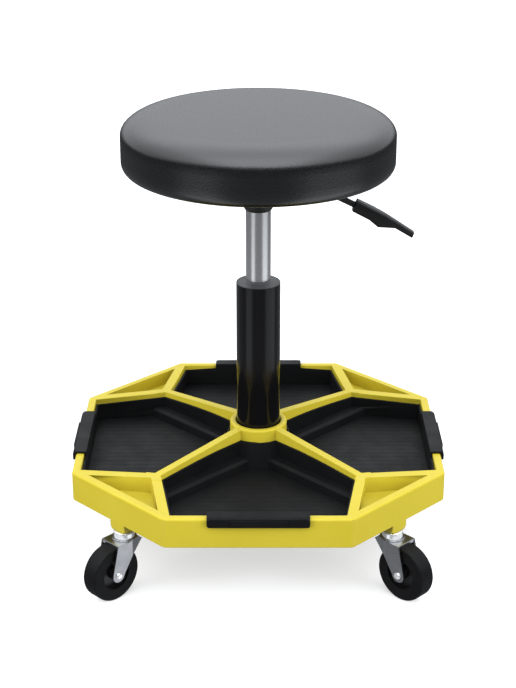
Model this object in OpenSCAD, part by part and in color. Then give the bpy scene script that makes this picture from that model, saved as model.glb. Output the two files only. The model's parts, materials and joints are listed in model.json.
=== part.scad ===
// Rolling workshop stool: a round padded seat on a gas column, in an octagonal moulded base
// with four lift-out trays, four corner pockets and four swivel casters.
// Origin on the floor under the column's axis, +Z up, +X to the lever's side, -Y to the front.
// Every size is in millimetres.

/* [Base] */
// Width of the base across its long sides
base_w = 416; // [400:2:440]
// Length of each long side
side_l = 201; // [190:1:210]
// Width of the top of the rim
rim_w = 9.5; // [9:0.5:11]
// Depth of the skirt below the top of the rim
skirt_h = 34.5; // [34:0.5:42]
// Distance from the column's axis to the middle of each junction
junction_r = 160.5; // [154:0.5:166]
// Distance from the base's middle lines to the middle of each wall where it meets the outside
wall_foot = 98; // [95:0.5:101]
// Height of the junctions above the rim, from where the walls slope down to it
junction_rise = 3; // [1:0.5:5]
// Width of the walls between the trays and the corner pockets
wall_w = 11; // [9:0.5:12]
// Width of the spokes
spoke_w = 9; // [7:0.5:11]
// Height of the spokes above the rim where they meet the hub
spoke_rise = 16.5; // [8:0.5:17]
// Height of the hub above the rim
hub_rise = 18.5; // [18:0.5:30]
// Outer radius of the hub
hub_r = 33; // [32:0.5:36]
// Depth of the corner pockets
pocket_h = 16; // [12:1:20]
// Thickness of the pocket floors
floor_t = 3; // [2:0.5:4]
// Thickness of the moulded skins round the cored walls
skin_t = 3; // [2.5:0.25:3.5]
// Half width of the flange under each spoke
flange_w = 17; // [12:1:19]
// Radius of the rounded edges of the moulding
edge_r = 3; // [2:0.5:4]

/* [Trays] */
// Thickness of the tray walls and floor
tray_t = 2.2; // [1.6:0.2:2.8]
// Depth of the tray floor below the top of the rim
tray_h = 26; // [22:1:28]
// Clearance between a tray and the base
tray_gap = 0.5; // [0.3:0.1:1]
// Height of a tray's edge above the rim at the hub
tray_rise = 4; // [0:0.5:6]
// Distance from the column's axis to where that edge starts to fall
tray_level = 50; // [40:1:70]
// Depth of a tray's edge below the rim beside the junctions
tray_dip = 2.3; // [0:0.1:4]
// Depth of a tray's edge below the rim at the tray's outer corners
tray_edge = 6.5; // [4:0.5:8]
// Depth of a tray's edge below the rim beside the hook
hook_dip = 3; // [1:0.5:4]
// Width of the hook that hangs a tray on the rim
hook_w = 109; // [80:1:130]
// Thickness of the hook
hook_t = 3; // [2:0.25:4]
// Depth of the hook's apron below the top of the rim
hook_drop = 8.5; // [6:0.5:14]
// Width of the raised panel in the middle of the hook
panel_w = 60; // [40:1:70]
// Thickness of that raised panel
panel_t = 1.5; // [1:0.25:2]
// Width of the raised ledge along each spoke wall
ledge_w = 13.5; // [10:0.5:16]
// Height of the ledge above the tray floor
ledge_h = 12; // [8:0.5:13]
// Distance between the fine ribs on the tray floor
rib_pitch = 10; // [8:0.5:14]
// Width of a floor rib
rib_w = 0.8; // [0.6:0.1:1.2]
// Height of a floor rib
rib_h = 0.3; // [0.2:0.1:0.8]

/* [Casters] */
// Diameter of the wheels
wheel_d = 63; // [60:1:70]
// Width of the wheels
wheel_w = 20; // [18:0.5:22]
// Distance of the wheel's axle behind the swivel axis
trail = 21; // [20:0.5:23]
// Thickness of the fork's sheet steel
sheet_t = 2; // [1.5:0.25:2.5]
// Clearance over the wheel and on each side of it
wheel_gap = 2; // [1.5:0.25:3]
// Distance of the swivel axis inside the corner face
swivel_inset = 10; // [9:0.5:12]
// Width of the boss that holds a caster's stem
boss_w = 24; // [22:1:28]
// Depth of the boss below the skirt
boss_drop = 11; // [8:0.5:16]
// Radius of the stem
stem_r = 5; // [4.5:0.25:5.5]
// Length of the stem inside the boss
stem_l = 25; // [22:1:28]
// Height of the bearing cup
cup_h = 9; // [8.5:0.25:11]
// Radius of the bearing cup
cup_r = 11.5; // [11:0.25:11.75]
// Radius of the axle
axle_r = 3; // [2.5:0.25:3.5]

/* [Column] */
// Diameter of the column tube
tube_d = 50; // [46:0.5:52]
// Wall of the column tube
tube_t = 1.5; // [1.2:0.1:2]
// Height of the column tube above the rim
tube_rise = 189; // [170:1:230]
// Diameter of the gas cylinder
cyl_d = 28; // [26:0.5:30]
// Wall of the gas cylinder
cyl_t = 1.5; // [1.2:0.1:2]
// Bare length of the gas cylinder with the seat raised
cyl_show = 85.3; // [70:0.1:90]
// Diameter of the piston rod
rod_d = 10; // [8:0.5:11]
// Length of the guide bush in the column tube
bush_l = 110; // [80:1:120]

/* [Seat] */
// Diameter of the seat
seat_d = 300; // [280:1:340]
// Height of the seat pad at its middle
pad_h = 61.8; // [56:0.2:75]
// Height of the crown above the edge of the seat's top
crown_h = 0.8; // [0.4:0.2:3]
// Width of the rounding at the seat's upper edge
brow_w = 43; // [20:1:60]
// Height of the rounding at the seat's upper edge
brow_h = 21.5; // [15:0.5:28]
// Radius of the seat's lower edge
sill_r = 11; // [6:0.5:12]
// Thickness of the vinyl cover
cover_t = 1.2; // [0.8:0.1:1.6]
// Thickness of the plywood board
board_t = 12; // [10:1:15]
// Height from the bottom of the taper socket to the underside of the seat
mech_h = 47.2; // [46:0.1:55]
// Length of the steel seat plate
plate_l = 160; // [150:1:180]
// Width of the steel seat plate
plate_w = 130; // [120:1:150]
// Thickness of the steel seat plate
plate_t = 3; // [2.5:0.25:3.5]

/* [Lever] */
// Radius of the lever's rod
bar_r = 3.5; // [3:0.25:4]
// Distance of the lever's pivot from the column's axis
pivot_x = 22; // [20:0.5:25]
// Distance from the column's axis to the rod's bend
bend_x = 51; // [45:0.5:60]
// Distance from the column's axis to the inner end of the grip
grip_x = 106.4; // [95:0.2:115]
// Angle of the lever below the level
droop = 26; // [20:1:30]
// Length of the grip
grip_l = 73.7; // [60:0.1:85]

/* [Hidden] */
$fn = 96;
// How far every cut runs past the surface that it opens
over = 1;
// Radial clearance of a shaft that turns or slides in a hole
fit = 0.06;
// Clearance between faces of pieces that move past each other
gap = 0.3;

// Base: heights from the floor, worked up from the wheels
wheel_r = wheel_d / 2;
plate_z = wheel_d + wheel_gap + sheet_t;
boss_z = plate_z + cup_h;
rim_z = boss_z + boss_drop + skirt_h;
skirt_z = rim_z - skirt_h;
// How far the hub reaches below the skirt
hub_foot = 2;
hub_z = skirt_z - hub_foot;
half_w = base_w / 2;
half_side = side_l / 2;
// Distance of the four corner faces from the axis
corner_r = (half_w + half_side) / sqrt(2);
swivel_r = corner_r - swivel_inset;
corners = [225, 315, 45, 135];
rim_top_t = 4;
flange_t = skirt_h - tray_h - tray_t - gap;
boss_chamfer = 3;
boss_depth = 24;
corner_fillet = 11;

// Column: heights from the floor
tube_r = tube_d / 2;
tube_top = rim_z + tube_rise;
tube_z = skirt_z - 2 * skin_t;
end_t = 3;
end_z = tube_z + 4 * end_t / 3;
sleeve_t = 3.5;
sleeve_top = rim_z + hub_rise - 2 * edge_r - sleeve_t;
mouth_gap = 1;
rod_r = rod_d / 2;
race_r = 12;
race_t = 2;
race_ball_r = 1.5;
race_ball_ring = 9;
race_balls = 12;
stop_h = 12;
clip_t = 1.5;
clip_w = 3;
cyl_r = cyl_d / 2;
bore_r = cyl_r - cyl_t;
socket_z = tube_top + cyl_show;
stop_gap = 1.3;
travel = cyl_show - stop_gap;
upper_race_z = end_z + end_t + race_t + 2 * race_ball_r + 2 * gap;
stop_z = upper_race_z + race_t;
cyl_z = stop_z + stop_h + travel + 4 * gap;
guide_l = 20;
piston_t = 8;
piston_z = cyl_z + guide_l + piston_t / 2;

// Seat and mechanism: heights from the floor
seat_z = socket_z + mech_h;
board_z = seat_z + cover_t;
plate_bottom = board_z - plate_t;
lever_drop = 13.2;
lever_z = plate_bottom - lever_drop;
pin_r = 4;
pin_show = 5.7;
pin_l = 22;
cyl_top = lever_z - bar_r - gap - pin_show;
valve_l = 24;
socket_t = 2.7;
socket_chamfer = 3.7;
socket_lip = 0.6;
housing_h = 30.5;
housing_t = 3;
housing_l = 72;
housing_w = 40;
pivot_r = 2.5;
pivot_boss_r = 6.5;
pivot_boss_w = 16;
lever_end = 8;
bar_seat = 40;
bolt_x = 62;
bolt_y = 47;
bolt_r = 3;
bolt_head_r = 5.7;
bolt_head_t = 4;
bolt_l = 11;
washer_r = 7.5;
washer_t = 1.2;
tnut_t = 1.2;
tnut_flange_r = 9;
tnut_r = 4;
seat_r = seat_d / 2;
board_clear = 0.5;
board_gap = sill_r + board_clear;
plate_corner = 10;
// Clearance between the seat plate's corners and the hem of the cover
hem_clear = 9.5;
hem_r = norm([plate_l / 2 - plate_corner, plate_w / 2 - plate_corner]) + plate_corner + hem_clear;

// Casters
fork_w = wheel_w + 2 * (wheel_gap + sheet_t);
fork_front = 20.5;
fork_back = 12;
fork_tail = 19;
fork_tail_drop = 5.5;
fork_notch = 17;
fork_lip = 4;
fork_end_r = 8;
fold = 18;
collar_r = 12.1;
collar_t = 1.7;
collar_h = 1.2;
ball_r = 1.6;
ball_ring = 8;
balls = 10;
stem_foot_r = 7;
stem_foot_t = 3.2;
cup_t = 1.5;
tyre_in_r = 21;
wall_in_r = 17.5;
wall_depth = 3;
wheel_boss_r = 7;
web_t = 6;
tread_edge = 2.5;
rivet_r = 4.2;
rivet_h = 2.4;

// Trays
// How strongly the edge of a tray bends down between the hub and the junctions
edge_bend = 1.5;
ledge_back_drop = 1;
ledge_slope_w = 3.5;
ledge_foot = 1.5;
hook_edge = 3;
hook_out = 3.5;
rib_margin = 4;
rib_hub_r = 50;
// Radius of the trays' drafted end walls at the floor
tray_foot_r = 43;

YELLOW = [0.85, 0.79, 0.23];
BLACK = [0.10, 0.10, 0.11];
CHARCOAL = [0.17, 0.17, 0.18];
ZINC = [0.62, 0.63, 0.65];
CHROME = [0.82, 0.83, 0.85];
STEEL = [0.70, 0.71, 0.73];
WOOD = [0.74, 0.60, 0.42];
FOAM = [0.93, 0.90, 0.78];
BRASS = [0.80, 0.66, 0.35];

// Points of an arc, from one angle to another
function arc(cx, cy, r, from, to, steps = 8) =
    [for (i = [0 : steps]) let (a = from + (to - from) * i / steps) [cx + r * cos(a), cy + r * sin(a)]];

// Where the line through p along d meets the line through q along e
function meet(p, d, q, e) = p + d * cross(q - p, e) / cross(d, e);

function unit(v) = v / norm(v);
function left_of(v) = [-v[1], v[0]];
function mirrored(p) = [-p[0], p[1]];
function swapped(p) = [p[1], p[0]];

// A convex outline, counterclockwise, drawn in by d on every side
function inset(points, d) =
    let (n = len(points))
    [for (i = [0 : n - 1])
        let (before = unit(points[i] - points[(i + n - 1) % n]), after = unit(points[(i + 1) % n] - points[i]))
        meet(points[i] + left_of(before) * d, before, points[i] + left_of(after) * d, after)];

// The base seen from above, and the outline of its top
octagon = [[half_w, -half_side], [half_w, half_side], [half_side, half_w], [-half_side, half_w],
    [-half_w, half_side], [-half_w, -half_side], [-half_side, -half_w], [half_side, -half_w]];
fillet_centres = inset(octagon, corner_fillet);
junction = [junction_r, junction_r] / sqrt(2);
wall_dir = unit([wall_foot, half_w] - junction);
diagonal = [1, 1] / sqrt(2);
tray_side = junction + left_of(wall_dir) * wall_w / 2;
pocket_side = junction - left_of(wall_dir) * wall_w / 2;

// The well for a tray, in front of which +Y points outwards; its sides stand w from the diagonals
well_a = meet(tray_side, wall_dir, [0, half_w - rim_w], [1, 0]);
function well_outline(w) =
    let (side = left_of(diagonal) * w, b = meet(tray_side, wall_dir, side, diagonal))
    [well_a, mirrored(well_a), mirrored(b), meet([0, 0], [0, 1], side, diagonal), b];
well = well_outline(spoke_w / 2);

// The corner pocket, between +X and +Y
pocket_tip = meet([0, 0], diagonal, pocket_side, wall_dir);
pocket_end = meet(pocket_side, wall_dir, diagonal * (corner_r - rim_w), left_of(diagonal));
pocket = [pocket_tip, swapped(pocket_end), pocket_end];

// A solid of revolution with a rounded upper edge
module rounded_post(r, h, edge) {
    rotate_extrude() polygon(concat([[0, 0], [r, 0]], arc(r - edge, h - edge, edge, 0, 90), [[0, h]]));
}

module ring(r_in, r_out, h) {
    difference() {
        cylinder(r = r_out, h = h);
        translate([0, 0, -over]) cylinder(r = r_in, h = h + 2 * over);
    }
}

module slab(points, z_low, z_high) {
    translate([0, 0, z_low]) linear_extrude(z_high - z_low) polygon(points);
}

// An outline of distances from the axis and heights, as a plate across the diagonal or along +Y
module upright(points, angle, w) {
    rotate(angle) translate([0, w / 2, 0]) rotate([90, 0, 0]) linear_extrude(w) polygon(points);
}

module at_corner(i) {
    rotate(corners[i]) translate([swivel_r, 0, 0]) children();
}

// The outer block of the base: four crossed slabs with rounded upper edges, and rounded corners
module base_block() {
    intersection() {
        slab([for (i = [0 : 7]) each arc(fillet_centres[i][0], fillet_centres[i][1], corner_fillet,
            45 * (i - 1), 45 * i, 5)], skirt_z, rim_z);
        intersection_for (i = [0 : 3]) {
            r = i % 2 == 0 ? half_w : corner_r;
            right = arc(r - edge_r, rim_z - edge_r, edge_r, 0, 90, 4);
            left = arc(edge_r - r, rim_z - edge_r, edge_r, 90, 180, 4);
            upright(concat([[-r, skirt_z - over], [r, skirt_z - over]], right, left), 45 * i, 2 * base_w);
        }
    }
}

// The raised top of the walls beside a corner pocket, which slopes down to the rim
module web_top() {
    near = junction[1];
    far = half_w - rim_w;
    start = near - wall_w;
    intersection() {
        for (side = [0, 1]) mirror([side, -side, 0]) translate([near - wall_w / 2, 0, 0])
            upright([[start, rim_z - rim_top_t], [far, rim_z - rim_top_t], [far, rim_z],
                [start, rim_z + junction_rise * (far - start) / (far - near)]], 90, 3 * wall_w);
        slab(inset(octagon, rim_w), rim_z - skirt_h, rim_z + 2 * junction_rise);
    }
}

module spoke(i) {
    low = skirt_z + flange_t / 2;
    upright([[hub_r - edge_r, low], [junction_r, low], [junction_r, rim_z + junction_rise],
        [hub_r, rim_z + spoke_rise], [hub_r - edge_r, rim_z + spoke_rise]], corners[i], spoke_w);
    upright([[hub_r - edge_r, skirt_z], [junction_r, skirt_z], [junction_r, skirt_z + flange_t],
        [hub_r - edge_r, skirt_z + flange_t]], corners[i], 2 * flange_w);
}

// The corner boss with its chamfered lower corners, seen square to the corner face
module boss(i) {
    low = boss_z;
    high = rim_z - pocket_h - floor_t / 2;
    w = boss_w / 2;
    rotate(corners[i]) translate([corner_r - boss_depth, 0, 0]) rotate([90, 0, 90]) linear_extrude(boss_depth)
        polygon([[-w, high], [-w, low + boss_chamfer], [boss_chamfer - w, low], [w - boss_chamfer, low],
            [w, low + boss_chamfer], [w, high]]);
}

module tray_frame() color(YELLOW) {
    pocket_z = rim_z - pocket_h;
    core = rim_w - skin_t;
    high = rim_z + 2 * junction_rise;
    difference() {
        union() {
            difference() {
                union() {
                    base_block();
                    for (q = [0 : 3]) rotate(90 * q) web_top();
                }
                for (q = [0 : 3]) rotate(90 * q) {
                    slab(well_outline(spoke_w / 4), skirt_z - over, high);
                    slab(pocket, pocket_z, high);
                    slab(pocket, skirt_z - over, pocket_z - floor_t);
                }
                translate([0, 0, skirt_z - over]) cylinder(r = junction_r - wall_w, h = high - skirt_z + over);
                difference() {
                    slab(inset(octagon, skin_t), skirt_z - over, rim_z - rim_top_t);
                    slab(inset(octagon, core), skirt_z - 2 * over, rim_z);
                }
            }
            for (i = [0 : 3]) {
                spoke(i);
                boss(i);
            }
            translate([0, 0, hub_z]) rounded_post(hub_r, rim_z + hub_rise - hub_z, edge_r);
        }
        translate([0, 0, hub_z - over]) cylinder(r = tube_r + sleeve_t, h = sleeve_top - hub_z + over);
        translate([0, 0, hub_z]) cylinder(r = tube_r + mouth_gap, h = rim_z + hub_rise - hub_z + over);
        for (i = [0 : 3]) at_corner(i) translate([0, 0, boss_z - over]) cylinder(r = stem_r, h = stem_l + over);
    }
}

module hub_sleeve() color(STEEL) {
    translate([0, 0, hub_z]) ring(tube_r, tube_r + sleeve_t, sleeve_top - hub_z);
}

module column_tube() color(BLACK) {
    translate([0, 0, tube_z]) ring(tube_r - tube_t, tube_r, tube_top - tube_z);
}

module column_end_plate() color(STEEL) {
    translate([0, 0, end_z]) ring(rod_r + fit, tube_r - tube_t, end_t);
}

module guide_bush() color(CHARCOAL) {
    translate([0, 0, tube_top - bush_l]) ring(cyl_r + fit, tube_r - tube_t, bush_l);
}

module bearing_race_lower() color(STEEL) {
    translate([0, 0, end_z + end_t]) ring(rod_r + gap, race_r, race_t);
}

module bearing_balls() color(CHROME) {
    z = end_z + end_t + race_t + race_ball_r + gap / 2;
    for (i = [1 : race_balls]) rotate(360 * i / race_balls) translate([race_ball_ring, 0, z])
        sphere(r = race_ball_r);
}

module bearing_race_upper() color(STEEL) {
    translate([0, 0, upper_race_z]) ring(rod_r, race_r, race_t);
}

module bump_stop() color(BLACK) {
    translate([0, 0, stop_z]) ring(rod_r, race_r, stop_h);
}

module piston_rod() color(CHROME) {
    low = end_z - gap - clip_t - clip_w / 2;
    translate([0, 0, low]) cylinder(r = rod_r, h = piston_z + piston_t - low);
}

module piston() color(STEEL) {
    translate([0, 0, piston_z]) ring(rod_r, bore_r - fit, piston_t);
}

module rod_clip() color(STEEL) {
    translate([0, 0, end_z - gap - clip_t]) ring(rod_r, rod_r + clip_w, clip_t);
}

// Open at the bottom, where the rod guide closes it, and at the top, where the valve does
module gas_cylinder() color(CHROME) {
    translate([0, 0, cyl_z]) ring(bore_r, cyl_r, cyl_top - cyl_z);
}

module rod_guide() color(BLACK) {
    translate([0, 0, cyl_z]) ring(rod_r + fit, bore_r, guide_l);
}

module valve_body() color(STEEL) {
    translate([0, 0, cyl_top - valve_l]) ring(pin_r + fit, bore_r, valve_l);
}

module release_pin() color(STEEL) {
    translate([0, 0, cyl_top + pin_show - pin_l]) cylinder(r = pin_r, h = pin_l);
}

module taper_socket() color(BLACK) {
    r_out = cyl_r + socket_t;
    top = plate_bottom - housing_h - socket_z;
    translate([0, 0, socket_z]) difference() {
        rotate_extrude() polygon([[0, 0], [cyl_r + socket_lip, 0], [r_out, socket_chamfer], [r_out, top], [0, top]]);
        translate([0, 0, -over]) cylinder(r = cyl_r, h = top + 2 * over);
    }
}

// A channel welded under the seat plate: two cheeks and a web that the gas cylinder passes through
module lift_housing() color(BLACK) {
    low = plate_bottom - housing_h;
    difference() {
        translate([-housing_l / 2, -housing_w / 2, low]) cube([housing_l, housing_w, housing_h]);
        translate([-housing_l / 2 - over, housing_t - housing_w / 2, low + housing_t])
            cube([housing_l + 2 * over, housing_w - 2 * housing_t, housing_h]);
        translate([0, 0, low - over]) cylinder(r = cyl_r, h = housing_t + 2 * over);
        translate([pivot_x, housing_w / 2 + over, lever_z]) rotate([90, 0, 0])
            cylinder(r = pivot_r, h = housing_w + 2 * over);
    }
}

module lever_pin() color(STEEL) {
    translate([pivot_x, housing_w / 2 + clip_t, lever_z]) rotate([90, 0, 0])
        cylinder(r = pivot_r, h = housing_w + 2 * clip_t);
}

module at_bolts() {
    for (x = [-bolt_x, bolt_x], y = [-bolt_y, bolt_y]) translate([x, y, 0]) children();
}

module seat_plate() color(BLACK) {
    l = plate_l / 2 - plate_corner;
    w = plate_w / 2 - plate_corner;
    translate([0, 0, plate_bottom]) difference() {
        union() {
            translate([-l, -w - plate_corner, 0]) cube([2 * l, plate_w, plate_t]);
            translate([-l - plate_corner, -w, 0]) cube([plate_l, 2 * w, plate_t]);
            for (x = [-l, l], y = [-w, w]) translate([x, y, 0]) cylinder(r = plate_corner, h = plate_t);
        }
        at_bolts() translate([0, 0, -over]) cylinder(r = bolt_r, h = plate_t + 2 * over);
    }
}

module plate_washers() color(ZINC) {
    at_bolts() translate([0, 0, plate_bottom - washer_t]) ring(bolt_r, washer_r, washer_t);
}

module plate_bolts() color(ZINC) {
    z = plate_bottom - washer_t;
    at_bolts() {
        translate([0, 0, z - bolt_head_t]) cylinder(r = bolt_head_r, h = bolt_head_t, $fn = 6);
        translate([0, 0, z]) cylinder(r = bolt_r, h = washer_t + plate_t + bolt_l);
    }
}

// Flange on top of the board, barrel down through it
module t_nuts() color(ZINC) {
    z = board_z + board_t;
    at_bolts() difference() {
        union() {
            translate([0, 0, z]) cylinder(r = tnut_flange_r, h = tnut_t);
            translate([0, 0, z - bolt_l]) cylinder(r = tnut_r, h = bolt_l);
        }
        translate([0, 0, z - bolt_l - over]) cylinder(r = bolt_r, h = bolt_l + tnut_t + 2 * over);
    }
}

module seat_board() color(WOOD) {
    translate([0, 0, board_z]) difference() {
        cylinder(r = seat_r - board_gap, h = board_t);
        at_bolts() translate([0, 0, -over]) cylinder(r = tnut_r, h = board_t + 2 * over);
    }
}

// Half section of the pad, drawn in by d: rounded sill, upright side, wide rounded brow, slightly crowned top
function pad_points(d, steps = 12) =
    let (r = seat_r - brow_w, z = seat_z + pad_h - crown_h - brow_h)
    concat([[0, seat_z + d]], arc(seat_r - sill_r, seat_z + sill_r, sill_r - d, -90, 0),
        [for (i = [0 : steps]) let (a = 90 * i / steps) [r + (brow_w - d) * cos(a), z + (brow_h - d) * sin(a)]],
        [[0, seat_z + pad_h - d]]);

module seat_foam() color(FOAM) {
    difference() {
        rotate_extrude() polygon(pad_points(cover_t));
        translate([0, 0, seat_z - over]) cylinder(r = seat_r - board_gap, h = cover_t + board_t + over);
        at_bolts() translate([0, 0, board_z + board_t - over]) cylinder(r = tnut_flange_r, h = tnut_t + over);
    }
}

// The cover wraps the pad and ends in a hem under the board
module seat_cover() color(BLACK) {
    difference() {
        rotate_extrude() polygon(pad_points(0));
        rotate_extrude() polygon(pad_points(cover_t));
        translate([0, 0, seat_z - over]) cylinder(r = hem_r, h = cover_t + 2 * over);
    }
}

// The frame of the lever's outer part: its X runs down along the rod from the bend
module along_lever() {
    translate([bend_x, 0, lever_z]) rotate([0, droop, 0]) children();
}

module lever_rod() color(BLACK) {
    run = (grip_x - bend_x) / cos(droop);
    difference() {
        union() {
            translate([-lever_end, 0, lever_z]) rotate([0, 90, 0]) cylinder(r = bar_r, h = bend_x + lever_end);
            along_lever() sphere(r = bar_r);
            along_lever() rotate([0, 90, 0]) cylinder(r = bar_r, h = run + bar_seat);
            translate([pivot_x, pivot_boss_w / 2, lever_z]) rotate([90, 0, 0])
                cylinder(r = pivot_boss_r, h = pivot_boss_w);
        }
        translate([pivot_x, pivot_boss_w / 2 + over, lever_z]) rotate([90, 0, 0])
            cylinder(r = pivot_r + fit, h = pivot_boss_w + 2 * over);
    }
}

// Stations along the grip, as shares of its length: place, top, bottom, half width
grip_shares = [[0, 0.100, -0.100, 0.095], [0.30, 0.098, -0.110, 0.095], [0.46, 0.090, -0.157, 0.082],
    [0.70, 0.055, -0.054, 0.075], [1, 0.014, -0.080, 0.070]];

module grip_station(share) {
    steps = 12;
    middle = grip_l * (share[1] + share[2]) / 2;
    tall = grip_l * (share[1] - share[2]) / 2;
    wide = grip_l * share[3];
    translate([grip_l * share[0], 0, 0]) rotate([90, 0, 90]) linear_extrude(gap)
        polygon([for (i = [1 : steps]) let (a = 360 * i / steps)
            [wide * sign(cos(a)) * sqrt(abs(cos(a))), middle + tall * sign(sin(a)) * sqrt(abs(sin(a)))]]);
}

module lever_grip() color(BLACK) {
    run = (grip_x - bend_x) / cos(droop);
    along_lever() translate([run, 0, 0]) difference() {
        for (i = [1 : len(grip_shares) - 1]) hull() {
            grip_station(grip_shares[i - 1]);
            grip_station(grip_shares[i]);
        }
        translate([-over, 0, 0]) rotate([0, 90, 0]) cylinder(r = bar_r, h = bar_seat + over);
    }
}

// A tray is drawn with +Y outwards, then turned into its place
tray_outline = inset(well, tray_gap);
tray_cavity = inset(well, tray_gap + tray_t);
tray_floor = rim_z - tray_h;
hub_clear = hub_r + tray_gap;

// Its side view, outwards and upwards: the edge is level round the hub, bends down to the junctions and falls
// evenly from there
module tray_side_view(steps = 8) {
    upright(concat([[0, tray_floor - tray_t], [half_w, tray_floor - tray_t], [half_w, rim_z - tray_edge],
        [half_w - rim_w, rim_z - tray_edge]], [for (i = [0 : steps]) let (s = 1 - i / steps)
        [tray_level + (junction[1] - tray_level) * s, rim_z + tray_rise - (tray_rise + tray_dip) * pow(s, edge_bend)]],
        [[0, rim_z + tray_rise]]), 90, base_w);
}

// The edge of its outer wall, which rises from the corners to the hook
module outer_edge() {
    low = tray_floor - tray_t / 2;
    end = hook_w / 2 - tray_t;
    intersection() {
        slab(inset(tray_outline, gap), tray_floor - tray_t, rim_z);
        translate([0, half_w - rim_w - tray_gap - gap, 0]) rotate([90, 0, 0]) linear_extrude(tray_t - 2 * gap)
            polygon([[-half_side, low], [half_side, low], [half_side, rim_z - tray_edge],
                [end, rim_z - hook_dip], [-end, rim_z - hook_dip], [-half_side, rim_z - tray_edge]]);
    }
}

// The ledge's section, from the spoke wall outwards, and the same drawn in for its hollow
function ledge_points(t) =
    let (s = spoke_w / 2 + tray_gap + t / 2, e = spoke_w / 2 + tray_gap + tray_t + ledge_w - t, h = ledge_h - t)
    [[s, tray_floor - tray_t + t / tray_t * -over], [e, tray_floor - tray_t + t / tray_t * -over],
        [e, tray_floor - t / 2], [e - ledge_foot, tray_floor + h - ledge_slope_w],
        [e - ledge_foot - ledge_slope_w, tray_floor + h - ledge_back_drop], [s, tray_floor + h]];

// Two ledges, each from the hub to the wall beside the corner pocket
module ledge(t) {
    for (side = [0, 1]) mirror([side, 0, 0]) rotate(45) rotate([90, 0, 90]) linear_extrude(half_w)
        polygon(ledge_points(t));
}

module hook() {
    inner = half_w - rim_w - tray_gap - tray_t;
    outer = half_w + hook_out;
    low = rim_z - hook_drop;
    top = rim_z + hook_t;
    slot_in = inner + tray_t;
    slot_out = outer - hook_t;
    section = concat([[inner, rim_z - tray_edge - tray_t], [slot_in, rim_z - tray_edge - tray_t],
        [slot_in, rim_z + gap], [slot_out, rim_z + gap], [slot_out, low], [outer, low]],
        arc(outer - hook_edge, top - hook_edge, hook_edge, 0, 90, 6), [[inner, top]]);
    upright(section, 90, hook_w - 2 * hook_edge);
    upright([[inner, rim_z - tray_edge - tray_t], [slot_in, rim_z - tray_edge - tray_t], [slot_in, rim_z + gap],
        [slot_out, rim_z + gap], [slot_out, low + hook_edge], [outer, low + hook_edge], [outer, top - hook_edge],
        [outer - hook_edge, top], [inner, top]], 90, hook_w);
    for (x = [-1, 1]) translate([x * (hook_w / 2 - hook_edge), slot_out, low + hook_edge]) rotate([-90, 0, 0])
        cylinder(r = hook_edge, h = hook_t);
    upright([[outer - hook_t / 2, low + hook_t / 2], [outer + panel_t, low + hook_t / 2],
        [outer + panel_t, top - hook_edge], [outer - hook_t / 2, top - hook_edge]], 90, panel_w);
}

// Floor ribs, which run across the stool in every tray
module floor_ribs(turn) {
    field_side = left_of(diagonal) * (spoke_w / 2 + tray_gap + tray_t + ledge_w + rib_margin);
    far = inset(well, tray_gap + tray_t + rib_margin);
    low = meet(far[0], far[4] - far[0], field_side, diagonal);
    apex = meet([0, 0], [0, 1], field_side, diagonal);
    n = ceil(half_w / rib_pitch);
    difference() {
        intersection() {
            slab([far[0], far[1], mirrored(low), apex, low], tray_floor - tray_t / 2, tray_floor + rib_h);
            rotate(turn) for (i = [-n : n]) translate([-half_w, i * rib_pitch - rib_w / 2, tray_floor - tray_t])
                cube([base_w, rib_w, tray_t + rib_h + over]);
        }
        cylinder(r = rib_hub_r, h = rim_z);
    }
}

// The space round the hub that a tray's drafted end wall follows, from below the floor to above the edge
module hub_cone(r_low, r_high, more) {
    low = tray_floor - tray_t;
    high = rim_z + tray_rise;
    translate([0, 0, low]) cylinder(r1 = r_low, r2 = r_high, h = high - low);
    if (more > 0) {
        translate([0, 0, low - more]) cylinder(r = r_low, h = more);
        translate([0, 0, high]) cylinder(r = r_high, h = more);
    }
}

module tray(angle) color(CHARCOAL) {
    rotate(angle) {
        difference() {
            union() {
                difference() {
                    intersection() {
                        slab(tray_outline, tray_floor - tray_t, rim_z + tray_rise + over);
                        tray_side_view();
                    }
                    slab(tray_cavity, tray_floor, rim_z + tray_rise + 2 * over);
                }
                intersection() {
                    ledge(0);
                    slab(tray_outline, tray_floor - tray_t, rim_z);
                }
                intersection() {
                    slab(tray_outline, tray_floor - tray_t, rim_z + tray_rise);
                    tray_side_view();
                    hub_cone(tray_foot_r, hub_clear + tray_t, 0);
                }
            }
            ledge(tray_t);
            hub_cone(tray_foot_r - tray_t, hub_clear, over);
        }
        hook();
        outer_edge();
        floor_ribs(-angle);
    }
}

module tray_front() tray(180);
module tray_right() tray(270);
module tray_back() tray(0);
module tray_left() tray(90);

// Casters trail outwards: X is along the trail, Y along the axle
module caster_stem(i) color(ZINC) at_corner(i) {
    foot = plate_z - sheet_t - gap - stem_foot_t;
    translate([0, 0, foot]) cylinder(r = stem_foot_r, h = stem_foot_t);
    translate([0, 0, foot]) cylinder(r = stem_r, h = boss_z + stem_l - foot);
}

module caster_cup(i) color(CHROME) at_corner(i) {
    low = plate_z + 2 * gap;
    translate([0, 0, low]) difference() {
        rounded_post(cup_r, boss_z - low, cup_t + gap);
        translate([0, 0, -over]) cylinder(r = cup_r - cup_t, h = 2 * ball_r + over);
        translate([0, 0, -over]) cylinder(r = stem_r, h = boss_z - low + 2 * over);
    }
}

module caster_balls() color(CHROME) {
    for (i = [0 : 3]) at_corner(i) for (b = [1 : balls]) rotate(360 * b / balls)
        translate([ball_ring, 0, plate_z + ball_r + gap]) sphere(r = ball_r);
}

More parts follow.
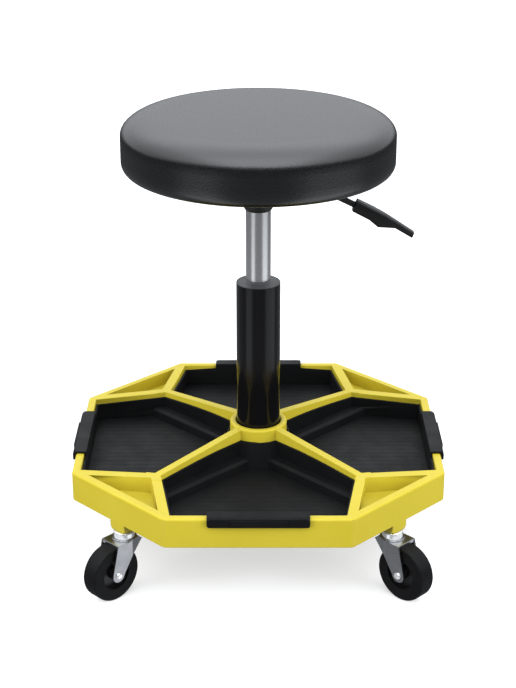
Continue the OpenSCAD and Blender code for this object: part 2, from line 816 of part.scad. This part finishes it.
module fork_cheek(side) {
    top = plate_z;
    y = side * (fork_w - sheet_t) / 2;
    module blade(points) translate([0, y + sheet_t / 2, 0]) rotate([90, 0, 0]) linear_extrude(sheet_t) polygon(points);
    blade([[fork_front, top], [trail + fork_end_r, wheel_r + fork_end_r / 4],
        [trail - fork_end_r + fork_end_r / 4, wheel_r - fork_end_r / 2], [0, top - fork_notch], [0, top]]);
    translate([trail, y + sheet_t / 2, wheel_r]) rotate([90, 0, 0]) cylinder(r = fork_end_r, h = sheet_t);
    translate([0, y, 0]) rotate(side * fold) translate([0, -y, 0])
        blade([[sheet_t / 2, top], [sheet_t / 2, top - fork_notch], [0, top - fork_notch],
            [-fork_tail, top - fork_tail_drop], [-fork_back, top]]);
}

module caster_fork(i) color(ZINC) at_corner(i) {
    w = fork_w / 2;
    difference() {
        union() {
            translate([0, 0, plate_z - sheet_t]) linear_extrude(sheet_t)
                polygon([[fork_front, w], [0, w], [-fork_back, w - fork_back * tan(fold)],
                    [-fork_back, fork_back * tan(fold) - w], [0, -w], [fork_front, -w]]);
            translate([fork_front - sheet_t, -w, plate_z - fork_lip]) cube([sheet_t, fork_w, fork_lip]);
            for (side = [-1, 1]) fork_cheek(side);
            translate([0, 0, plate_z]) ring(collar_r, collar_r + collar_t, collar_h);
        }
        translate([0, 0, plate_z - sheet_t - over]) cylinder(r = stem_r + fit, h = sheet_t + 2 * over);
        translate([trail, w + over, wheel_r]) rotate([90, 0, 0]) cylinder(r = axle_r, h = fork_w + 2 * over);
    }
}

module caster_axle(i) color(CHROME) at_corner(i) translate([trail, 0, wheel_r]) {
    w = fork_w / 2;
    translate([0, w, 0]) rotate([90, 0, 0]) cylinder(r = axle_r, h = fork_w);
    for (side = [-90, 90]) rotate([side, 0, 0]) translate([0, 0, w]) rounded_post(rivet_r, rivet_h, rivet_h - gap);
}

// Half section of the wheel's core: boss, web and the rim that the tyre sits on
module caster_wheel(i) color(BLACK) at_corner(i) translate([trail, 0, wheel_r]) rotate([90, 0, 0]) {
    half = wheel_w / 2 + wheel_gap / 2;
    lip = wheel_w / 2 - wall_depth;
    rotate_extrude() polygon([[axle_r + fit, -half], [wheel_boss_r, -half], [wheel_boss_r, -web_t / 2],
        [wall_in_r, -web_t / 2], [wall_in_r, -lip], [tyre_in_r, -lip], [tyre_in_r, lip], [wall_in_r, lip],
        [wall_in_r, web_t / 2], [wheel_boss_r, web_t / 2], [wheel_boss_r, half], [axle_r + fit, half]]);
}

module caster_tyre(i) color(CHARCOAL) at_corner(i) translate([trail, 0, wheel_r]) rotate([90, 0, 0]) {
    half = wheel_w / 2;
    lip = wheel_w / 2 - wall_depth;
    rotate_extrude() polygon(concat([[tyre_in_r, -lip], [wall_in_r, -lip], [wall_in_r, -half]],
        arc(wheel_r - tread_edge, tread_edge - half, tread_edge, -90, 0),
        arc(wheel_r - tread_edge, half - tread_edge, tread_edge, 0, 90),
        [[wall_in_r, half], [wall_in_r, lip], [tyre_in_r, lip]]));
}

tray_frame();
hub_sleeve();
column_tube();
column_end_plate();
guide_bush();
bearing_race_lower();
bearing_balls();
piston_rod();
piston();
bearing_race_upper();
bump_stop();
rod_clip();
gas_cylinder();
rod_guide();
valve_body();
release_pin();
taper_socket();
lift_housing();
lever_pin();
seat_plate();
plate_washers();
plate_bolts();
t_nuts();
seat_board();
seat_foam();
seat_cover();
lever_rod();
lever_grip();
tray_front();
tray_right();
tray_back();
tray_left();
caster_stem(0);  // caster_stem_1
caster_stem(1);  // caster_stem_2
caster_stem(2);  // caster_stem_3
caster_stem(3);  // caster_stem_4
caster_cup(0);  // caster_cup_1
caster_cup(1);  // caster_cup_2
caster_cup(2);  // caster_cup_3
caster_cup(3);  // caster_cup_4
caster_balls();
caster_fork(0);  // caster_fork_1
caster_fork(1);  // caster_fork_2
caster_fork(2);  // caster_fork_3
caster_fork(3);  // caster_fork_4
caster_axle(0);  // caster_axle_1
caster_axle(1);  // caster_axle_2
caster_axle(2);  // caster_axle_3
caster_axle(3);  // caster_axle_4
caster_wheel(0);  // caster_wheel_1
caster_wheel(1);  // caster_wheel_2
caster_wheel(2);  // caster_wheel_3
caster_wheel(3);  // caster_wheel_4
caster_tyre(0);  // caster_tyre_1
caster_tyre(1);  // caster_tyre_2
caster_tyre(2);  // caster_tyre_3
caster_tyre(3);  // caster_tyre_4
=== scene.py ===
"""Looks of a rolling workshop stool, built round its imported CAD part. Lengths are in metres."""
import json
import math
import random

import bmesh
import bpy
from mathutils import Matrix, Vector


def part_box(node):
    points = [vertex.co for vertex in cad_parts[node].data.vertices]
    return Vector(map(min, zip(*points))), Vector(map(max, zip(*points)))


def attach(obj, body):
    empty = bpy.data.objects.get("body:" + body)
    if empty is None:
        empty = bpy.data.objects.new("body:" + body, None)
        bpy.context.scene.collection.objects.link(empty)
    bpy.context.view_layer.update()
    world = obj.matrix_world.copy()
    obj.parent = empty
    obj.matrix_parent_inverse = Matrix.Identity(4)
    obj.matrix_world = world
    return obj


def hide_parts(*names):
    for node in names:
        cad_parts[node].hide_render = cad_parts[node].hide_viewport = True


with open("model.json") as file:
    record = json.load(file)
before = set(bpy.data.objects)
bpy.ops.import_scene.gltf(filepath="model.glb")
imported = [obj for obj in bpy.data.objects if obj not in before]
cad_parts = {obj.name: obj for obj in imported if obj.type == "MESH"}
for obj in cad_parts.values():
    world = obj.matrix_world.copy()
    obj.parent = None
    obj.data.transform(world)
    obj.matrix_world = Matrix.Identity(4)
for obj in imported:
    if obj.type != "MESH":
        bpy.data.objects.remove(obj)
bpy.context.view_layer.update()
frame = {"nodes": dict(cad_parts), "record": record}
nodes = frame["nodes"]
record = frame["record"]
body_of_node = {n: body for body, members in record["behaviour"]["bodies"].items() for n in members}
slot_of_node = {s["node"]: s["material_slot"] for s in record["subparts"]}
MM = 0.001


def add_object(name, data):
    thing = bpy.data.objects.new(name, data)
    bpy.context.scene.collection.objects.link(thing)
    return thing


def set_range(node, start, end, low, high):
    """Lets a map range node go from low to high as its value goes from start to end."""
    for name, value in (("From Min", start), ("From Max", end), ("To Min", low), ("To Max", high)):
        node.inputs[name].default_value = value


# Camera, fitted to the photograph: it stands in front of the stool and looks down at its column
CAMERA_Y = -1.69426
CAMERA_Z = 0.94429
CAMERA_PITCH = 22.734
CAMERA_LENS = 84.06
CAMERA_SENSOR = 36
CAMERA_SHIFT = -0.0005


def add_camera():
    data = bpy.data.cameras.new("camera")
    data.sensor_width = CAMERA_SENSOR
    data.lens = CAMERA_LENS
    data.shift_x = CAMERA_SHIFT
    camera = add_object("camera", data)
    camera.location = (0, CAMERA_Y, CAMERA_Z)
    camera.rotation_euler = (math.radians(90 - CAMERA_PITCH), 0, 0)
    bpy.context.scene.camera = camera


# Where a map range node has the ends of its ranges for vectors
VECTOR_SOCKETS = slice(7, 11)


class Tree:
    """A material's node tree with short ways to add nodes to it."""

    def __init__(self, name):
        self.material = bpy.data.materials.new(name)
        self.material.use_nodes = True
        self.tree = self.material.node_tree
        self.shader = next(n for n in self.tree.nodes if n.type == "BSDF_PRINCIPLED")
        self.object_space = self.tree.nodes.new("ShaderNodeTexCoord").outputs["Object"]

    def set(self, **values):
        for name, value in values.items():
            self.shader.inputs[name.replace("_", " ")].default_value = value
        return self

    def link(self, source, target):
        self.tree.links.new(source, target)

    def stretched(self, stretch):
        if stretch == (1, 1, 1):
            return self.object_space
        node = self.tree.nodes.new("ShaderNodeMapping")
        node.inputs["Scale"].default_value = stretch
        self.link(self.object_space, node.inputs["Vector"])
        return node.outputs["Vector"]

    def noise(self, scale, detail=2.0, roughness=0.5, stretch=(1, 1, 1)):
        node = self.tree.nodes.new("ShaderNodeTexNoise")
        node.inputs["Scale"].default_value = scale
        node.inputs["Detail"].default_value = detail
        node.inputs["Roughness"].default_value = roughness
        self.link(self.stretched(stretch), node.inputs["Vector"])
        return node.outputs["Fac"]

    def cells(self, scale, smoothness=0.0):
        node = self.tree.nodes.new("ShaderNodeTexVoronoi")
        node.inputs["Scale"].default_value = scale
        if smoothness:
            node.feature = "SMOOTH_F1"
            node.inputs["Smoothness"].default_value = smoothness
        self.link(self.object_space, node.inputs["Vector"])
        return node.outputs["Distance"]

    def colour(self, source, low, high, start=0.3, end=0.7):
        """Colours from low to high as source goes from start to end."""
        node = self.tree.nodes.new("ShaderNodeMapRange")
        node.data_type = "FLOAT_VECTOR"
        self.link(source, node.inputs["Vector"])
        ends = ((start,) * 3, (end,) * 3, low, high)
        for socket, value in zip(node.inputs[VECTOR_SOCKETS], ends):
            socket.default_value = value
        self.link(node.outputs["Vector"], self.shader.inputs["Base Color"])

    def roughness(self, source, low, high, start=0.3, end=0.7):
        node = self.tree.nodes.new("ShaderNodeMapRange")
        set_range(node, start, end, low, high)
        self.link(source, node.inputs["Value"])
        self.link(node.outputs["Result"], self.shader.inputs["Roughness"])

    def bump(self, *layers):
        """Layers of (height source, strength, distance), one on top of the other."""
        normal = None
        for source, strength, distance in layers:
            node = self.tree.nodes.new("ShaderNodeBump")
            node.inputs["Strength"].default_value = strength
            node.inputs["Distance"].default_value = distance
            self.link(source, node.inputs["Height"])
            if normal is not None:
                self.link(normal, node.inputs["Normal"])
            normal = node.outputs["Normal"]
        self.link(normal, self.shader.inputs["Normal"])


# One function for each finish, named like its material slot
def yellow_moulding():
    m = Tree("yellow_moulding").set(Specular_IOR_Level=0.25)
    m.colour(m.noise(14, 3), (0.47, 0.38, 0.025), (0.50, 0.41, 0.032))
    m.roughness(m.noise(60), 0.40, 0.50)
    m.bump((m.cells(1400), 0.10, 0.2 * MM), (m.noise(35), 0.08, 0.5 * MM))
    return m.material


def tray_plastic():
    m = Tree("tray_plastic").set(Specular_IOR_Level=0.15)
    m.colour(m.noise(18, 3), (0.0035, 0.0037, 0.0040), (0.0055, 0.0057, 0.0061))
    m.roughness(m.noise(50), 0.50, 0.62)
    m.bump((m.cells(1200), 0.18, 0.2 * MM), (m.noise(30), 0.06, 0.5 * MM))
    return m.material


def vinyl():
    m = Tree("vinyl").set(IOR=1.8, Specular_IOR_Level=0.44)
    grain = m.cells(620, 0.35)
    m.colour(m.noise(12, 3), (0.0022, 0.0023, 0.0026), (0.0032, 0.0034, 0.0038))
    m.roughness(grain, 0.22, 0.32, 0.1, 0.6)
    m.bump((grain, 0.22, 0.25 * MM), (m.noise(900), 0.10, 0.1 * MM), (m.noise(9), 0.10, 1.5 * MM))
    return m.material


def foam():
    m = Tree("foam").set(Roughness=0.9)
    m.colour(m.noise(300), (0.80, 0.76, 0.60), (0.90, 0.87, 0.74))
    m.bump((m.cells(900), 0.4, 0.5 * MM))
    return m.material


def plywood():
    m = Tree("plywood").set(Specular_IOR_Level=0.3)
    rings = m.noise(16, 6, 0.6, (1, 9, 9))
    m.colour(rings, (0.47, 0.32, 0.17), (0.64, 0.48, 0.29))
    m.roughness(rings, 0.55, 0.7)
    m.bump((m.noise(90, 4, 0.6, (1, 12, 12)), 0.2, 0.3 * MM))
    return m.material


def gloss_black():
    m = Tree("gloss_black").set(Specular_IOR_Level=0.25)
    m.colour(m.noise(10), (0.0035, 0.0035, 0.004), (0.005, 0.005, 0.0055))
    m.roughness(m.noise(25), 0.10, 0.16)
    m.bump((m.noise(160), 0.03, 0.2 * MM))
    return m.material


def black_paint():
    m = Tree("black_paint").set(Specular_IOR_Level=0.4)
    m.colour(m.noise(20), (0.010, 0.010, 0.011), (0.016, 0.016, 0.017))
    m.roughness(m.noise(60), 0.32, 0.45)
    m.bump((m.noise(500), 0.10, 0.1 * MM))
    return m.material


def cylinder_steel():
    m = Tree("cylinder_steel").set(Metallic=1.0)
    lines = m.noise(120, 3, 0.6, (1, 1, 14))
    m.colour(lines, (0.92, 0.93, 0.945), (0.965, 0.97, 0.98))
    m.roughness(lines, 0.24, 0.27)
    m.bump((lines, 0.006, 0.03 * MM))
    return m.material


def zinc():
    m = Tree("zinc").set(Metallic=1.0)
    m.colour(m.noise(70, 4), (0.42, 0.43, 0.445), (0.485, 0.495, 0.51))
    m.roughness(m.noise(40), 0.24, 0.34)
    m.bump((m.noise(700), 0.06, 0.05 * MM))
    return m.material


def bright_steel():
    m = Tree("bright_steel").set(Metallic=0.65)
    m.colour(m.noise(40), (0.94, 0.945, 0.95), (0.97, 0.975, 0.98))
    m.roughness(m.noise(60), 0.12, 0.18)
    m.bump((m.noise(300), 0.03, 0.05 * MM))
    return m.material


def steel():
    m = Tree("steel").set(Metallic=1.0)
    m.colour(m.noise(60, 3), (0.45, 0.45, 0.46), (0.55, 0.55, 0.56))
    m.roughness(m.noise(90), 0.28, 0.40)
    m.bump((m.noise(400, 2, 0.5, (1, 1, 6)), 0.06, 0.05 * MM))
    return m.material


def black_plastic():
    m = Tree("black_plastic").set(Specular_IOR_Level=0.52)
    m.colour(m.noise(25), (0.0045, 0.0045, 0.0048), (0.0072, 0.0072, 0.0076))
    m.roughness(m.noise(60), 0.34, 0.46)
    m.bump((m.cells(1500), 0.10, 0.15 * MM))
    return m.material


def tyre():
    m = Tree("tyre").set(Specular_IOR_Level=0.15)
    m.colour(m.noise(40, 4), (0.0032, 0.0032, 0.0035), (0.0055, 0.0055, 0.006))
    m.roughness(m.noise(50), 0.48, 0.62)
    m.bump((m.noise(700), 0.12, 0.1 * MM))
    return m.material


def rubber():
    m = Tree("rubber").set(Specular_IOR_Level=0.3)
    m.colour(m.noise(40), (0.015, 0.015, 0.015), (0.024, 0.024, 0.024))
    m.roughness(m.noise(60), 0.5, 0.65)
    m.bump((m.noise(500), 0.10, 0.1 * MM))
    return m.material


FINISHES = {finish.__name__: finish() for finish in (
    yellow_moulding, tray_plastic, vinyl, foam, plywood, gloss_black, black_paint,
    cylinder_steel, zinc, bright_steel, steel, black_plastic, tyre, rubber)}


def paint(piece, slot):
    piece.data.materials.clear()
    piece.data.materials.append(FINISHES[slot])


# CAD solids that show, and the width in mm that their outer edges are rounded over
TRAYS = ("tray_front", "tray_right", "tray_back", "tray_left")
CORNERS = 4
SOFTENED = {"tray_frame": 2.0}
SOFTENED |= {tray: 2.0 for tray in TRAYS}
SOFTENED |= {"column_tube": 0.3, "gas_cylinder": 0.3, "taper_socket": 0.3, "guide_bush": 0.3,
             "lever_rod": 0.2, "lift_housing": 0.6, "seat_plate": 0.5, "seat_board": 0.8,
             "plate_bolts": 0.4, "plate_washers": 0.3, "lever_pin": 0.4}
for corner in range(1, CORNERS + 1):
    SOFTENED |= {f"caster_fork_{corner}": 0.35, f"caster_wheel_{corner}": 0.4,
                 f"caster_tyre_{corner}": 0.4, f"caster_axle_{corner}": 0.2,
                 f"caster_cup_{corner}": 2.2, f"caster_stem_{corner}": 0.3}
SOFTENED["lever_grip"] = 0.8
WELD = 0.01 * MM
# Only edges that turn by more than this are rounded or kept sharp
EDGE_ANGLE = math.radians(28)
EDGE_SEGMENTS = 3
# An edge's rounding takes at most this share of the shortest edge beside it
EDGE_ROOM = 0.6
# The trays' floor ribs: their height over the floor in the CAD part, and the height that is shown
RIB_H = 0.3 * MM
RIB_SHOWN = 0.12 * MM
# The ledges' edges take the full width, and the trays' other edges this share of it
TRAY_SHARE = 0.4
# The ledges' edges lie between these heights over the floor
LEDGE_LOW = 4 * MM
LEDGE_HIGH = 14 * MM


def tray_floor(node):
    side = node.removeprefix("tray_")
    return next(m["pos_m"][2] for m in record["mounts"] if m["name"] == f"{side}_tray_floor")


def sink_ribs(form, floor):
    """Lowers the fine ribs on a tray's floor, and returns the vertices of their tops."""
    ribs = {v for v in form.verts if abs(v.co.z - floor - RIB_H) < RIB_H / 4}
    for v in ribs:
        v.co.z = floor + RIB_SHOWN
    return ribs


def at_rib(vert, ribs):
    return vert in ribs or any(e.other_vert(vert) in ribs for e in vert.link_edges)


def edge_weights(form, node, width):
    """Weighs the outer edges for their rounding, and keeps the inner edges and the ribs sharp."""
    floor = tray_floor(node) if node in TRAYS else None
    ribs = sink_ribs(form, floor) if node in TRAYS else set()
    layer = form.edges.layers.float.new("bevel_weight_edge")
    for edge in form.edges:
        edge.smooth = True
        if len(edge.link_faces) != 2 or edge.calc_face_angle(0.0) < EDGE_ANGLE:
            continue
        if not edge.is_convex or any(at_rib(v, ribs) for v in edge.verts):
            edge.smooth = False
            continue
        share = 1.0
        if node in TRAYS and not all(LEDGE_LOW < v.co.z - floor < LEDGE_HIGH for v in edge.verts):
            share = TRAY_SHARE
        room = min(e.calc_length() for v in edge.verts for e in v.link_edges)
        edge[layer] = min(share, EDGE_ROOM * room / (width * MM))


def soften(node, width):
    """Puts a copy of a CAD node, with its outer edges rounded, in the node's place."""
    mesh = nodes[node].data.copy()
    form = bmesh.new()
    form.from_mesh(mesh)
    bmesh.ops.remove_doubles(form, verts=form.verts, dist=WELD)
    for face in form.faces:
        face.smooth = True
    edge_weights(form, node, width)
    form.to_mesh(mesh)
    form.free()
    for name in ("custom_normal", "sharp_face"):
        if name in mesh.attributes:
            mesh.attributes.remove(mesh.attributes[name])
    piece = add_object(f"{node}_form", mesh)
    bevel = piece.modifiers.new("edges", "BEVEL")
    bevel.width = width * MM
    bevel.segments = EDGE_SEGMENTS
    bevel.limit_method = "WEIGHT"
    bevel.use_clamp_overlap = False
    bevel.miter_outer = "MITER_ARC"
    normals = piece.modifiers.new("normals", "WEIGHTED_NORMAL")
    normals.keep_sharp = True
    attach(piece, body_of_node[node])
    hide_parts(node)
    paint(piece, slot_of_node[node])


# The seat: a turned cushion, with its cover drawn round the board and gathered under it.
# Its section has a slight crown, a broad brow and a tucked sill, all in shares of its radius
CROWN = 0.0053
BROW_WIDTH = 0.287
BROW_HEIGHT = 0.143
SILL = 0.073
# Steps of the section, and steps round the seat
TOP_STEPS = 10
BROW_STEPS = 14
SIDE_STEPS = 4
SILL_STEPS = 8
AROUND = 192


def seat_section():
    """Half section of the cushion, from the middle of its top to the foot of its sill."""
    low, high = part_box("seat_cover")
    radius = high.x
    brow_w, brow_h = BROW_WIDTH * radius, BROW_HEIGHT * radius
    crown, sill = CROWN * radius, SILL * radius
    edge_r = radius - brow_w
    brow_z = high.z - crown - brow_h
    points = []
    for k in range(TOP_STEPS + 1):
        points.append((edge_r * k / TOP_STEPS, high.z - crown * (k / TOP_STEPS) ** 2))
    for k in range(1, BROW_STEPS + 1):
        a = math.radians(90 * (1 - k / BROW_STEPS))
        points.append((edge_r + brow_w * math.cos(a), brow_z + brow_h * math.sin(a)))
    for k in range(1, SIDE_STEPS + 1):
        points.append((radius, brow_z + (low.z + sill - brow_z) * k / SIDE_STEPS))
    for k in range(1, SILL_STEPS + 1):
        a = math.radians(90 * k / SILL_STEPS)
        points.append((radius - sill + sill * math.cos(a), low.z + sill - sill * math.sin(a)))
    return points


HEM_WIDTH = 30 * MM
HEM_STEPS = 8
# The hem's pleats: how deep the deepest one is, and the share of that for the shallowest
PLEATS = 44
PLEAT_DEPTH = 0.9 * MM
PLEAT_LEAST = 0.3
# Shares of the room for one pleat: how far it is moved aside at most, and half its width
PLEAT_SHIFT = 0.35
PLEAT_HALF = 0.16
PLEAT_SEED = 7


def pleat_drops():
    """How far the inner edge of the hem hangs down at each step round the seat."""
    rng = random.Random(PLEAT_SEED)
    shifts = [rng.uniform(-PLEAT_SHIFT, PLEAT_SHIFT) for _ in range(PLEATS)]
    depths = [rng.uniform(PLEAT_LEAST, 1.0) for _ in range(PLEATS)]
    drops = []
    for k in range(AROUND):
        turn = PLEATS * k / AROUND
        pleat = int(turn)
        fold = max(0.0, 1 - abs(turn - pleat - 0.5 - shifts[pleat]) / PLEAT_HALF)
        drops.append(PLEAT_DEPTH * depths[pleat] * fold * fold * (3 - 2 * fold))
    return drops


def cushion():
    """The foam and its cover in one closed form, which ends at the underside of the board."""
    section = seat_section()
    outer_r, low_z = section[-1]
    inner_r = outer_r - HEM_WIDTH
    board_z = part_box("seat_board")[0].z
    # Rings of (radius, height, share of the pleats' drop)
    profile = [(r, z, 0.0) for r, z in section[1:]]
    for k in range(1, HEM_STEPS + 1):
        profile.append((outer_r + (inner_r - outer_r) * k / HEM_STEPS, low_z, k / HEM_STEPS))
    profile += [(inner_r, board_z, 0.0), (outer_r, board_z, 0.0)]
    drops = pleat_drops()
    form = bmesh.new()
    rings = []
    for r, z, share in profile:
        turns = (2 * math.pi * k / AROUND for k in range(AROUND))
        rings.append([form.verts.new((r * math.cos(a), r * math.sin(a), z - share * drop))
                      for a, drop in zip(turns, drops)])
    top = form.verts.new((0, 0, section[0][1]))
    pairs = [(k, (k + 1) % AROUND) for k in range(AROUND)]
    for k, m in pairs:
        form.faces.new((top, rings[0][k], rings[0][m]))
    for upper, lower in zip(rings, rings[1:]):
        for k, m in pairs:
            form.faces.new((upper[k], lower[k], lower[m], upper[m]))
    form.faces.new(list(reversed(rings[-1])))
    bmesh.ops.recalc_face_normals(form, faces=form.faces)
    for face in form.faces:
        face.smooth = True
    mesh = bpy.data.meshes.new("seat_cushion")
    form.to_mesh(mesh)
    form.free()
    piece = add_object("seat_cushion", mesh)
    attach(piece, "seat")
    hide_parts("seat_cover", "seat_foam")
    paint(piece, "vinyl")


# The backdrop: a pale floor with a pale wall far round it
FLOOR_SIZE = 40
WALL_RADIUS = 19
WALL_HEIGHT = 14
WALL_SIDES = 96
BACKDROP_GLOW = 0.45


def backdrop_paint():
    m = Tree("backdrop").set(Roughness=0.9, Specular_IOR_Level=0.0)
    m.set(Emission_Color=(1, 1, 1, 1), Emission_Strength=BACKDROP_GLOW)
    m.colour(m.noise(0.5), (0.63, 0.63, 0.63), (0.65, 0.65, 0.65))
    return m.material


def add_backdrop():
    """Adds the floor and the wall. No piece reflects them, and the wall keeps no light out."""
    h = FLOOR_SIZE / 2
    floor = ([(-h, -h, 0), (h, -h, 0), (h, h, 0), (-h, h, 0)], [(0, 1, 2, 3)])
    turns = [2 * math.pi * k / WALL_SIDES for k in range(WALL_SIDES)]
    ring = [(WALL_RADIUS * math.cos(a), WALL_RADIUS * math.sin(a)) for a in turns]
    rims = [(x, y, z) for z in (0, WALL_HEIGHT) for x, y in ring]
    sides = []
    for k in range(WALL_SIDES):
        m = (k + 1) % WALL_SIDES
        sides.append((k, m, m + WALL_SIDES, k + WALL_SIDES))
    material = backdrop_paint()
    for name, (corners, faces) in (("floor", floor), ("wall", (rims, sides))):
        mesh = bpy.data.meshes.new(name)
        mesh.from_pydata(corners, [], faces)
        mesh.materials.append(material)
        piece = add_object(name, mesh)
        piece.visible_glossy = False
        piece.visible_diffuse = False
        piece.visible_shadow = name == "floor"


# The light of the studio by its direction: x to the right, y away from the camera, z up. The values
# are brightness, and the pairs are the start and the end of a smooth change.
DAYLIGHT = (0.96, 0.99, 1.03, 1)
# From the ground to the sky
HORIZON_Z = (-0.03, 0.06)
# The low sky, from the sides to the back
SKY_SIDE = 0.8
SKY_BACK = 0.97
BACK_Y = (0.1, 0.8)
# What the sky gains higher up, in front and behind, and the share of it that the far sides get
SKY_RISE = 2.3
SKY_RISE_BACK = 1.2
SKY_SIDE_SHARE = 0.35
RISE_Z = (0.25, 0.7)
RISE_Y = (0.5, -0.35)
SIDE_X = (0.3, 0.7)
# The share of its brightness that the sky has in front: low down, and above that to a sloping edge
SKY_LOW_FRONT = 0.12
SKY_MID_FRONT = 0.34
MID_FRONT_Z = (0.1, 0.3)
FRONT_SLOPE = 0.6
FRONT_EDGE = (0.0, 0.14)
# The ground, dark far off and lighter near the stool
GROUND_FAR = 0.07
GROUND = 0.25
GROUND_Z = (-0.28, -0.325)
# Two bright bands on the ground, front left and front right: their turns from the front and the
# changes at their sides are in radians
BAND = 0.92
BAND_Z = (-0.31, -0.345)
BAND_LEFT = -0.88
BAND_LEFT_SIDES = (0.42, 0.16)
BAND_RIGHT = 1.15
BAND_RIGHT_SIDES = (0.62, 0.32)


class World:
    """The world's node tree, which gives a brightness for each direction."""

    def __init__(self):
        world = bpy.data.worlds.new("studio")
        bpy.context.scene.world = world
        world.use_nodes = True
        self.tree = world.node_tree
        self.background = self.tree.nodes["Background"]
        self.background.inputs["Color"].default_value = DAYLIGHT
        split = self.tree.nodes.new("ShaderNodeSeparateXYZ")
        direction = self.tree.nodes.new("ShaderNodeTexCoord").outputs["Generated"]
        self.tree.links.new(direction, split.inputs["Vector"])
        self.x, self.y, self.z = (split.outputs[k] for k in "XYZ")

    def math(self, operation, a, b=0.0):
        node = self.tree.nodes.new("ShaderNodeMath")
        node.operation = operation
        for socket, value in zip(node.inputs, (a, b)):
            if isinstance(value, (int, float)):
                socket.default_value = value
            else:
                self.tree.links.new(value, socket)
        return node.outputs["Value"]

    def smooth(self, source, span, low=0.0, high=1.0):
        node = self.tree.nodes.new("ShaderNodeMapRange")
        node.interpolation_type = "SMOOTHSTEP"
        self.tree.links.new(source, node.inputs["Value"])
        set_range(node, *span, low, high)
        return node.outputs["Result"]

    def mix(self, share, low, high):
        low_part = self.math("MULTIPLY", low, self.math("SUBTRACT", 1.0, share))
        return self.math("ADD", low_part, self.math("MULTIPLY", high, share))

    def band(self, turn, middle, sides):
        off = self.math("ABSOLUTE", self.math("SUBTRACT", turn, middle))
        return self.smooth(off, sides, 0.0, BAND)


def add_world():
    w = World()
    low_sky = w.smooth(w.y, BACK_Y, SKY_SIDE, SKY_BACK)
    rise = w.math("MULTIPLY", w.smooth(w.z, RISE_Z), w.smooth(w.y, RISE_Y, SKY_RISE_BACK, SKY_RISE))
    inward = w.smooth(w.math("ABSOLUTE", w.x), SIDE_X, 1.0, SKY_SIDE_SHARE)
    high_sky = w.math("MULTIPLY", rise, inward)
    dim = w.smooth(w.z, MID_FRONT_Z, SKY_LOW_FRONT, SKY_MID_FRONT)
    slope = w.math("ADD", w.z, w.math("MULTIPLY", w.y, FRONT_SLOPE))
    front = w.mix(w.smooth(slope, FRONT_EDGE), dim, 1.0)
    sky = w.math("MULTIPLY", w.math("ADD", low_sky, high_sky), front)
    turn = w.math("ARCTAN2", w.x, w.math("MULTIPLY", w.y, -1.0))
    left = w.band(turn, BAND_LEFT, BAND_LEFT_SIDES)
    right = w.band(turn, BAND_RIGHT, BAND_RIGHT_SIDES)
    bands = w.math("MULTIPLY", w.math("ADD", left, right), w.smooth(w.z, BAND_Z))
    ground = w.math("ADD", bands, w.smooth(w.z, GROUND_Z, GROUND_FAR, GROUND))
    level = w.mix(w.smooth(w.z, HORIZON_Z), ground, sky)
    w.tree.links.new(level, w.background.inputs["Strength"])


# Two wide soft lights, FILL_TURN degrees to the left and to the right of the camera
FILL_ENERGY = 39
FILL_SIZE = (1.6, 1.2)
FILL_TURN = 57
FILL_DISTANCE = 2.3
FILL_HEIGHT = 0.75
FILL_PITCH = 80


def add_fills():
    """Adds the lights that fill in the upright faces, without a reflection."""
    for side in (-1, 1):
        data = bpy.data.lights.new("fill", "AREA")
        data.shape = "RECTANGLE"
        data.size, data.size_y = FILL_SIZE
        data.energy = FILL_ENERGY
        light = add_object("fill", data)
        turn = math.radians(side * FILL_TURN)
        x, y = FILL_DISTANCE * math.sin(turn), -FILL_DISTANCE * math.cos(turn)
        light.location = (x, y, FILL_HEIGHT)
        light.rotation_euler = (math.radians(FILL_PITCH), 0, turn)
        light.visible_glossy = False


add_camera()
add_world()
add_fills()
add_backdrop()
for node, width in SOFTENED.items():
    soften(node, width)
cushion()
for node, solid in nodes.items():
    paint(solid, slot_of_node[node])

view = bpy.context.scene.view_settings
view.view_transform = "Standard"
view.look = "None"
